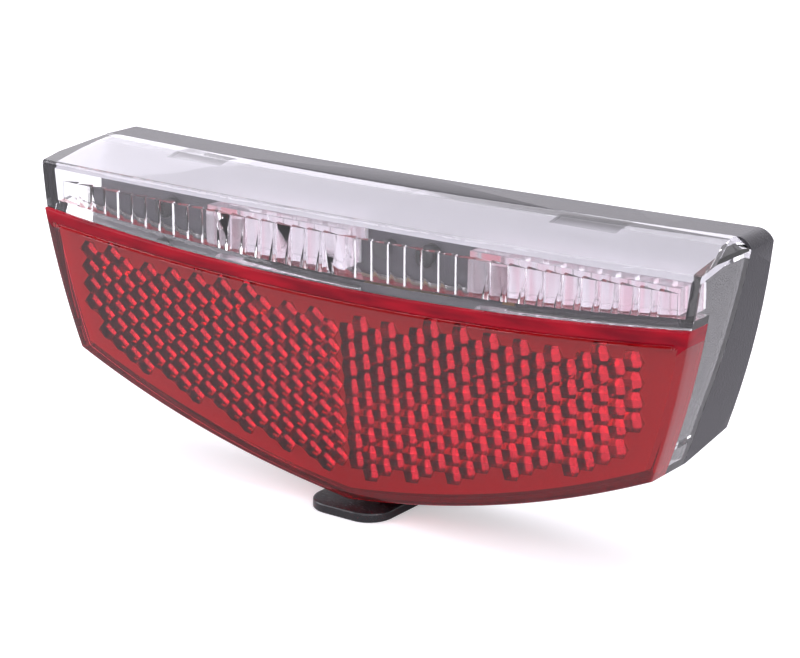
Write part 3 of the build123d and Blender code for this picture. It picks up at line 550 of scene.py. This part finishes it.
def make_materials():
    """Every finish of the lamp, by its key: most keys are slots of the record."""
    return {
        "black_shell": grained_plastic(
            "black shell", low=(0.022, 0.021, 0.025), high=(0.07, 0.068, 0.078), roughness=(0.36, 0.52),
            scale=3600.0, depth=shell_relief, specular=0.3),
        "black_moving": grained_plastic(
            "black tongue", low=(0.012, 0.012, 0.014), high=(0.02, 0.02, 0.023), roughness=(0.2, 0.32),
            scale=2600.0, depth=fine_relief),
        "white_plastic": grained_plastic(
            "white plastic", low=(0.85, 0.85, 0.86), high=(0.9, 0.9, 0.91), roughness=(0.35, 0.5),
            scale=2400.0, depth=plain_relief),
        "black_inside": grained_plastic(
            "black inside", low=(0.016, 0.016, 0.019), high=(0.060, 0.058, 0.068), roughness=(0.3, 0.45),
            scale=2400.0, depth=plain_relief),
        "seal_rubber": grained_plastic(
            "seal rubber", low=(0.012, 0.012, 0.012), high=(0.03, 0.03, 0.03), roughness=(0.6, 0.75),
            scale=1800.0, depth=coarse_relief),
        "chip": grained_plastic(
            "chip body", low=(0.018, 0.018, 0.02), high=(0.03, 0.03, 0.03), roughness=(0.5, 0.65),
            scale=6000.0, depth=fine_relief),
        "lead_film": grained_plastic(
            "lead film", low=(0.25, 0.13, 0.03), high=(0.32, 0.17, 0.04), roughness=(0.25, 0.35),
            scale=3000.0, depth=fine_relief),
        "clear_cover": clear_plastic("clear cover", (0.985, 0.985, 0.99), acrylic_index, fine_relief),
        "clear_optic": guide_finish(),
        "red_reflector": clear_plastic("red reflector", red_tint, acrylic_index, face_relief, red_shade),
        "coated_cubes": clear_plastic("coated cubes", red_tint, acrylic_index, cube_relief, red_shade,
                                      coating_share),
        "etched_red": etched_red(),
        "red_bead": crimson_bead(),
        "frosted_cover": frosted_finish(),
        "sensor_lens": clear_plastic("sensor lens", (0.95, 0.93, 0.86), sensor_index, lens_relief),
        "led_package": source_finish(),
        "capacitor_can": metal("capacitor can", low=(0.55, 0.55, 0.57), high=(0.75, 0.75, 0.77),
                               roughness=(0.25, 0.4), scale=600.0),
        "contact_metal": metal("contact metal", low=(0.65, 0.63, 0.58), high=(0.8, 0.78, 0.72),
                               roughness=(0.2, 0.35), scale=500.0),
        "switch_metal": metal("switch metal", low=(0.5, 0.5, 0.52), high=(0.7, 0.7, 0.72),
                              roughness=(0.25, 0.4), scale=700.0),
        "bolt_steel": metal("bolt steel", low=(0.42, 0.42, 0.43), high=(0.62, 0.62, 0.63),
                            roughness=(0.28, 0.45), scale=450.0),
        "screw_steel": metal("screw steel", low=(0.35, 0.35, 0.36), high=(0.6, 0.6, 0.6),
                             roughness=(0.25, 0.4), scale=700.0),
        "blackened_steel": metal("blackened steel", low=(0.03, 0.03, 0.032), high=(0.06, 0.06, 0.062),
                                 roughness=(0.3, 0.45), scale=700.0),
        "board": board_finish(),
        "cell_sleeve": cell_sleeve(),
    }


# Surfaces
def curve_between(start, end, bulge, steps):
    """Points from start to end: the straight line plus bulge times 4t(1 - t) to its right."""
    t = np.linspace(0, 1, steps + 1)[:, None]
    start = np.array(start)
    end = np.array(end)
    along = end - start
    right = np.array((along[1], -along[0])) / np.hypot(*along)
    return start + along * t + right * (4 * bulge * t * (1 - t))


def junction_level(x):
    """Height of the junction of strip and reflector: a parabola that rises to the ends."""
    return top_level - junction_drop + junction_end_rise * (x / half_width) ** 2


def reflector_loop():
    """Outline of the reflector seen from the front, round from the top left corner, clockwise.

    Its top follows the junction up to where that meets the sides. Its sides and both halves of its bottom
    edge are straight lines with a bulge, and the left half mirrors the right one.
    """
    shoulder = (half_width, top_level - shoulder_fall)
    corner = (corner_half_width, tip_level + corner_rise)
    tip = (0.0, tip_level)
    side = curve_between(shoulder, corner, -side_bulge, side_fineness * side_steps)
    above = side[:, 1] - junction_level(side[:, 0])
    start = np.argmax(above < 0)
    share = above[start - 1] / (above[start - 1] - above[start])
    first = side[start - 1] + share * (side[start] - side[start - 1])
    below = side[start:]
    picks = np.linspace(0, len(below) - 1, side_steps).astype(int)
    right_side = np.vstack((first, below[picks]))
    right_low = curve_between(corner, tip, -bottom_bulge, bottom_steps)
    top_x = np.linspace(-first[0], first[0], top_steps + 1)
    top = np.column_stack((top_x, junction_level(top_x)))
    half = np.vstack((right_side[1:], right_low[1:]))
    mirrored = half[::-1][1:] * (-1, 1)
    return np.vstack((top, half, mirrored))


def inset(loop, distance):
    """The loop moved inwards by distance; the loop runs clockwise.

    Each run between two corners moves along its own normals, and its points are spread anew between the
    corners, which move along their mitres: the sum of both normals over one plus their product. The top
    and bottom runs are spread along X, the axis 0, and the sides along Z, the axis 1.
    """
    ends = np.cumsum((0, top_steps, side_steps, bottom_steps, bottom_steps, side_steps))
    axes = (0, 1, 0, 0, 1)
    closed = np.vstack((loop, loop[:1]))
    runs = [closed[first:last + 1] for first, last in zip(ends[:-1], ends[1:])]
    normals = []
    for run in runs:
        along = np.gradient(run, axis=0)
        along /= np.linalg.norm(along, axis=1)[:, None]
        normals.append(np.column_stack((along[:, 1], -along[:, 0])))
    before = np.array([side[-1] for side in normals])
    after = np.array([side[0] for side in normals[1:] + normals[:1]])
    mitres = (before + after) / (1 + np.sum(before * after, axis=1))[:, None]
    corners = loop[ends[1:] % len(loop)] + mitres * distance
    made = []
    for number, (run, side, axis) in enumerate(zip(runs, normals, axes)):
        moved = run + side * distance
        first, last = corners[number - 1], corners[number]
        share = (run[:, axis] - run[0, axis]) / (run[-1, axis] - run[0, axis])
        spread = first[axis] + share * (last[axis] - first[axis])
        order = np.argsort(moved[:, axis])
        level = np.interp(spread, moved[order, axis], moved[order, 1 - axis])
        points = np.column_stack((spread, level) if axis == 0 else (level, spread))
        points[0] = first
        made.append(points[:-1])
    return np.vstack(made)


def reflector_front(points):
    """Y of the reflector's front: it leans back with the drop, and bows across by a parabola."""
    below = top_level - junction_drop - points[:, 1]
    share = below / (top_level - junction_drop - tip_level)
    bow = reflector_top_bow + (reflector_low_bow - reflector_top_bow) * share
    depth = reflector_top_depth - reflector_lean * share + bow * (1 - (points[:, 0] / half_width) ** 2)
    return -depth


def reflector_rim(points):
    """Y of the rim that stands on the clear cover's step: one depth, bowed across by a parabola."""
    return -(rim_depth + rim_bow * (1 - (points[:, 0] / half_width) ** 2))


def in_space(points, depths):
    """Points of the front view with their Y put in between."""
    return np.column_stack((points[:, 0], depths, points[:, 1]))


class Sheet:
    """Vertices and faces of one mesh, gathered piece by piece."""

    def __init__(self):
        self.points = []
        self.faces = []
        self.smooth = []
        self.materials = []
        self.count = 0

    def add(self, points, faces, smooth, material=0):
        """Adds a block of points with its faces, numbered from its own first point."""
        faces = np.asarray(faces)
        self.points.append(np.asarray(points))
        self.faces += (faces + self.count).tolist()
        self.smooth += [smooth] * len(faces)
        self.materials += np.broadcast_to(material, len(faces)).tolist()
        self.count += len(points)

    def add_rings(self, rings, material=0):
        """Joins rings of points, each with as many points, by a band of four-sided faces."""
        size = len(rings[0])
        column = np.arange(size)
        after = np.roll(column, -1)
        row = size * np.arange(len(rings) - 1)[:, None]
        faces = np.stack((row + column, row + size + column, row + size + after, row + after), axis=-1)
        self.add(np.vstack(rings), faces.reshape(-1, 4), True, material)

    def make(self, name):
        """The mesh as an object, with its doubles welded and its faces turned outwards."""
        mesh = bpy.data.meshes.new(name)
        mesh.from_pydata(np.vstack(self.points), [], self.faces)
        mesh.polygons.foreach_set("use_smooth", self.smooth)
        mesh.polygons.foreach_set("material_index", self.materials)
        shape = bmesh.new()
        shape.from_mesh(mesh)
        bmesh.ops.remove_doubles(shape, verts=shape.verts, dist=weld_distance)
        bmesh.ops.recalc_face_normals(shape, faces=shape.faces)
        shape.to_mesh(mesh)
        shape.free()
        mesh.set_sharp_from_angle(angle=sharp_angle)
        made = bpy.data.objects.new(name, mesh)
        bpy.context.scene.collection.objects.link(made)
        return made


def inside(points, loop):
    """Which points lie within the loop: a ray to the right crosses it an odd number of times."""
    start = loop[None]
    end = np.roll(loop, -1, axis=0)[None]
    x = points[:, None, 0]
    y = points[:, None, 1]
    spans = (start[..., 1] > y) != (end[..., 1] > y)
    rise = np.where(spans, end[..., 1] - start[..., 1], 1.0)
    crossing = start[..., 0] + (y - start[..., 1]) * (end[..., 0] - start[..., 0]) / rise
    return np.sum(spans & (crossing > x), axis=1) % 2 == 1


def in_field(points, loop):
    """Which points keep the cubes' margins from the loop's top, right side and right bottom edge."""
    x, z = points.T
    side = loop[top_steps:top_steps + side_steps + 1][::-1]
    low = loop[top_steps + side_steps:top_steps + side_steps + bottom_steps + 1][::-1]
    off_side = x < np.interp(z, side[:, 1], side[:, 0]) - cube_side_margin
    off_top = z < junction_level(x) - cube_top_margin
    off_bottom = z > np.interp(x, low[:, 0], low[:, 1]) + cube_low_margin
    return off_side & off_top & off_bottom


def cube_field(loop):
    """Centres of the corner cubes of the right half, on a hexagonal grid, and the corners of their cells.

    A cell's corners lie a pitch over the root of three from its centre. Columns stand half a pitch times
    the root of three apart, and every second one is half a pitch higher. A cell stays if all of its
    corners lie in the field.
    """
    reach = cube_pitch / 3 ** 0.5
    column_step = cube_pitch * 3 ** 0.5 / 2
    columns = np.arange(int(half_width / column_step) + 1)
    rows = np.arange(-cube_rows, cube_rows)
    column, row = np.meshgrid(columns, rows, indexing="ij")
    x = reach + column * column_step
    z = (row + 0.5 * (column % 2)) * cube_pitch
    centres = np.column_stack((x.ravel(), z.ravel()))
    angles = np.radians(360 / cell_sides * np.arange(cell_sides))
    corners = centres[:, None] + reach * np.column_stack((np.cos(angles), np.sin(angles)))
    held = in_field(corners.reshape(-1, 2), loop).reshape(-1, cell_sides).all(axis=1)
    return centres[held], corners[held]


def add_cubes(sheet, centres, corners):
    """Adds the cubes of both halves; returns the corners of their cells and the depths of these.

    The three faces of a cube meet at its apex, the first point of its cell, and each has three of its
    corners besides. The corners stand forward of the apex by two steps and one step in turn, each step the
    edge of the cube over the root of three.
    """
    levels = np.concatenate(((0.0,), np.tile((2.0, 1.0), cell_sides // 2) * cube_step))
    threes = [(k, (k + 1) % cell_sides, (k + 2) % cell_sides) for k in (1, 3, 5)]
    spots = []
    depths = []
    for side in (1, -1):
        points = np.concatenate((centres[:, None], corners), axis=1) * (side, 1)
        flat = points.reshape(-1, 2)
        depth = reflector_front(flat) + reflector_face - np.tile(levels, len(centres))
        first = len(levels) * np.arange(len(centres))[:, None]
        faces = [first + np.array((0, 1 + near, 1 + middle, 1 + far)) for near, middle, far in threes]
        sheet.add(in_space(flat, depth), np.vstack(faces), False, cube_finish)
        spots.append(points[:, 1:].reshape(-1, 2))
        depths.append(depth.reshape(len(centres), -1)[:, 1:].ravel())
    return np.concatenate(spots), np.concatenate(depths)


def field_edges(spots):
    """The first place of each distinct corner, and the edges between them that only one cell has."""
    keys = np.round(spots / weld_distance).astype(np.int64)
    _, firsts, numbers = np.unique(keys, axis=0, return_index=True, return_inverse=True)
    numbers = numbers.reshape(-1, cell_sides)
    edges = np.stack((numbers, np.roll(numbers, -1, axis=1)), axis=-1).reshape(-1, 2)
    edges, uses = np.unique(np.sort(edges, axis=1), axis=0, return_counts=True)
    return firsts, edges[uses == 1]


def in_cells(points, centres):
    """Which points lie in a cell of either half: less than half a pitch off along its three normals."""
    directions = np.radians((30, 90, 150))
    normals = np.column_stack((np.cos(directions), np.sin(directions)))
    held = np.zeros(len(points), bool)
    for side in (1, -1):
        offsets = points[:, None] - (centres * (side, 1))[None]
        held |= (np.abs(offsets @ normals.T).max(axis=2) < cube_pitch / 2).any(axis=1)
    return held


def reflector_back(sheet, loop, wall_loop):
    """Corner cubes, risers round their field, and the plain floor between them and the wall.

    The floor is level with the nearer corners of the cubes.
    """
    centres, corners = cube_field(loop)
    flat, ring_depths = add_cubes(sheet, centres, corners)
    firsts, edges = field_edges(flat)
    spots = flat[firsts]
    rings = ring_depths[firsts]
    floor = reflector_front(spots) + plain_thickness
    start, end = edges.T
    risers = [in_space(spots[picks], depths[picks])
              for picks, depths in ((start, rings), (end, rings), (end, floor), (start, floor))]
    count = len(edges)
    sheet.add(np.vstack(risers), np.arange(count)[:, None] + count * np.arange(len(risers)), False)
    wall_numbers = len(spots) + np.arange(len(wall_loop))
    wall_edges = np.column_stack((wall_numbers, np.roll(wall_numbers, -1)))
    plane = [Vector(spot) for spot in np.vstack((spots, wall_loop))]
    fixed = np.vstack((edges, wall_edges)).tolist()
    result = delaunay_2d_cdt(plane, fixed, [], 0, triangle_tolerance)
    made_spots = np.array([tuple(spot) for spot in result[0]])
    triangles = np.array(result[2])
    middles = made_spots[triangles].mean(axis=1)
    kept = triangles[~in_cells(middles, centres) & inside(middles, wall_loop)]
    depths = reflector_front(made_spots) + plain_thickness
    sheet.add(in_space(made_spots, depths), kept, False, floor_finish)


def groove(points):
    """How far the face sinks under its bead: depth times the square of 1 - (off / half width) ** 2.

    It fades in a straight line towards both ends of its reach.
    """
    off = (junction_level(points[:, 0]) - points[:, 1] - groove_drop) / groove_half_width
    fade = np.clip((groove_reach - np.abs(points[:, 0])) / groove_fade, 0, 1)
    return groove_depth * fade * np.maximum(1 - off ** 2, 0) ** 2


def bead_faces(loops):
    """Finish of each face between these loops: the bead's above the groove, the face's below it."""
    drops = np.stack([junction_level(points[:, 0]) - points[:, 1] for points in loops[1:]])
    return np.where(drops < groove_drop, bead_finish, face_finish).ravel()


def face_spine():
    """Line across the middle of the face, with a point for each point of the loops round it.

    It ends as far in from the bottom corners as these lie above the tip, and each end serves the points of
    its side.
    """
    reach = corner_half_width - corner_rise
    level = (junction_level(0) + tip_level) / 2
    across = np.linspace(-reach, reach, top_steps + 1)
    end = np.full(side_steps - 1, reach)
    x = np.concatenate((across, end, across[::-1], -end))
    return np.column_stack((x, np.full(len(x), level)))


def make_reflector():
    """Red pan: a bowed front, rounded edge, side wall, rim and the corner cubes behind its face.

    The rings of the front lie at growing shares of the way from the spine to the edge. The edge is a
    quarter of a circle, and the wall goes straight back from it to the rim.
    """
    loop = reflector_loop()
    sheet = Sheet()
    front_loop = inset(loop, edge_radius)
    spine = face_spine()
    coarse = np.linspace(0, groove_from, face_rows)
    fine = np.linspace(groove_from, groove_to, groove_rows)
    shares = np.concatenate((coarse, fine[1:], (1.0,)))
    front = [spine + share * (front_loop - spine) for share in shares]
    sheet.add_rings([in_space(points, reflector_front(points) + groove(points)) for points in front],
                    bead_faces(front))
    turns = np.linspace(0, np.pi / 2, fillet_steps + 1)
    round_loops = [inset(loop, edge_radius * (1 - np.sin(turn))) for turn in turns]
    sinks = edge_radius * (1 - np.cos(turns))
    sheet.add_rings([in_space(points, reflector_front(points) + sink)
                     for points, sink in zip(round_loops, sinks)], bead_faces(round_loops))
    near = reflector_front(loop) + edge_radius
    far = reflector_rim(loop)
    sheet.add_rings([in_space(loop, near + (far - near) * share) for share in np.linspace(0, 1, wall_rows)],
                    bead_faces([loop] * wall_rows))
    wall_loop = inset(loop, reflector_wall)
    wall_rim = in_space(wall_loop, reflector_rim(wall_loop))
    sheet.add_rings([in_space(loop, far), wall_rim])
    sheet.add_rings([wall_rim, in_space(wall_loop, reflector_front(wall_loop) + plain_thickness)],
                    floor_finish)
    reflector_back(sheet, loop, wall_loop)
    return sheet.make("red_reflector")


def moulded_copy(node, name, edge, smooth_angle=sharp_angle):
    """A welded copy of a CAD node whose corners are rounded a little, as a mould leaves them."""
    source = frame["nodes"][node]
    mesh = source.data.copy()
    mesh.name = name
    mesh.materials.clear()
    shape = bmesh.new()
    shape.from_mesh(mesh)
    bmesh.ops.remove_doubles(shape, verts=shape.verts, dist=weld_distance)
    bmesh.ops.dissolve_degenerate(shape, edges=shape.edges, dist=weld_distance)
    shape.to_mesh(mesh)
    shape.free()
    mesh.polygons.foreach_set("use_smooth", np.ones(len(mesh.polygons), bool))
    mesh.set_sharp_from_angle(angle=smooth_angle)
    made = bpy.data.objects.new(name, mesh)
    bpy.context.scene.collection.objects.link(made)
    bevel = made.modifiers.new("rounded edges", "BEVEL")
    bevel.width = edge
    bevel.segments = bevel_segments
    bevel.limit_method = "ANGLE"
    bevel.angle_limit = sharp_angle
    bevel.harden_normals = True
    return made


def frost_top(piece, material):
    """Gives the etched finish to the inner faces right under the top, which look down."""
    mesh = piece.data
    mesh.materials.append(material)
    normals = np.empty(3 * len(mesh.polygons))
    centres = np.empty_like(normals)
    mesh.polygons.foreach_get("normal", normals)
    mesh.polygons.foreach_get("center", centres)
    picked = (normals[2::3] < -frost_level) & (centres[2::3] > top_level - frost_drop)
    mesh.polygons.foreach_set("material_index", picked.astype(np.int32))


def finish_piece(piece, node, slot):
    """Puts a piece in a CAD node's place, with its finish and slot."""
    piece.data.materials.append(finishes[slot])
    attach(piece, body_of_node[node])
    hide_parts(node)


def dress_nodes():
    """Gives every CAD node the finish that is named for it."""
    for name, node in frame["nodes"].items():
        finish = finishes[node_slots[name]]
        for place in node.material_slots:
            place.material = finish


# Studio
def make_floor():
    """Pale floor under the lamp: it takes the shadow, and glows a little to the camera and through glass."""
    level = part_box("switch_slider")[0][2]
    corners = [(floor_half * x, floor_half * y, level) for x, y in ((-1, -1), (1, -1), (1, 1), (-1, 1))]
    mesh = bpy.data.meshes.new("floor")
    mesh.from_pydata(corners, [], [(0, 1, 2, 3)])
    floor = bpy.data.objects.new("floor", mesh)
    bpy.context.scene.collection.objects.link(floor)
    made, tree, shader, place = start_material("floor")
    paper = add_node(tree, "ShaderNodeTexNoise", Vector=place, Scale=900.0, Detail=3.0)
    pale = blend_colours(tree, paper.outputs["Fac"], low=(0.80, 0.80, 0.81), high=(0.84, 0.84, 0.85))
    link(tree, pale, shader.inputs["Base Color"])
    shader.inputs["Roughness"].default_value = 0.9
    shader.inputs["Specular IOR Level"].default_value = 0.1
    rays = tree.nodes.new("ShaderNodeLightPath")
    through_glass = combine(tree, "MULTIPLY", rays.outputs["Is Transmission Ray"], glow_through_glass)
    seen = combine(tree, "MAXIMUM", rays.outputs["Is Camera Ray"], through_glass)
    shader.inputs["Emission Color"].default_value = (*white, 1.0)
    link(tree, combine(tree, "MULTIPLY", seen, floor_glow), shader.inputs["Emission Strength"])
    mesh.materials.append(made)


def make_world():
    """World that is white to the camera, as bright in gloss and through glass, and softer for the rest."""
    world = bpy.data.worlds.new("studio")
    bpy.context.scene.world = world
    world.use_nodes = True
    tree = world.node_tree
    tree.nodes.clear()
    rays = tree.nodes.new("ShaderNodeLightPath")
    indirect = combine(tree, "MAXIMUM", rays.outputs["Is Glossy Ray"], rays.outputs["Is Transmission Ray"])
    seen = combine(tree, "MAXIMUM", rays.outputs["Is Camera Ray"], indirect)
    strength = combine(tree, "ADD", combine(tree, "MULTIPLY", seen, seen_strength), world_strength)
    colour = blend_colours(tree, rays.outputs["Is Camera Ray"], low=soft_white, high=white)
    background = add_node(tree, "ShaderNodeBackground", Color=colour, Strength=strength)
    output = tree.nodes.new("ShaderNodeOutputWorld")
    link(tree, background.outputs[0], output.inputs["Surface"])


def add_softbox(name, place, size, power):
    """Area lamp of this size and power in watts, turned towards the origin."""
    data = bpy.data.lights.new(name, "AREA")
    data.shape = "RECTANGLE"
    data.size, data.size_y = size
    data.energy = power
    data.color = lamp_tint
    lamp = bpy.data.objects.new(name, data)
    turn = (-Vector(place)).to_track_quat("-Z", "Y").to_matrix().to_4x4()
    lamp.matrix_world = Matrix.Translation(place) @ turn
    lamp.visible_camera = False
    bpy.context.scene.collection.objects.link(lamp)


# Making
bpy.context.scene.view_settings.view_transform = "Standard"
groups = {"grain": moulded_grain(), "haze": flow_haze(), "metal": worn_metal()}
make_camera()
make_floor()
make_world()
for name, place, size, power in lamps:
    add_softbox(name, place, size, power)
finishes = make_materials()
node_slots = {part["node"]: part["material_slot"] for part in frame["record"]["subparts"]}
body_of_node = {}
for body, members in frame["record"]["behaviour"]["bodies"].items():
    for member in members:
        body_of_node[member] = body

# Two nodes take another finish than their slot's
node_slots["reflector_backing"] = "black_inside"
node_slots["board_screws"] = "blackened_steel"
dress_nodes()

# The pieces of the scene, each in a CAD node's place
red_pan = make_reflector()
finish_piece(red_pan, "reflector", "red_reflector")
for key in ("coated_cubes", "etched_red", "red_bead"):
    red_pan.data.materials.append(finishes[key])
shell = moulded_copy("rear_housing", "back_shell", shell_edge)
finish_piece(shell, "rear_housing", "black_shell")
cover = moulded_copy("lens_cover", "clear_cover", cover_edge, flute_angle)
finish_piece(cover, "lens_cover", "clear_cover")
frost_top(cover, finishes["frosted_cover"])
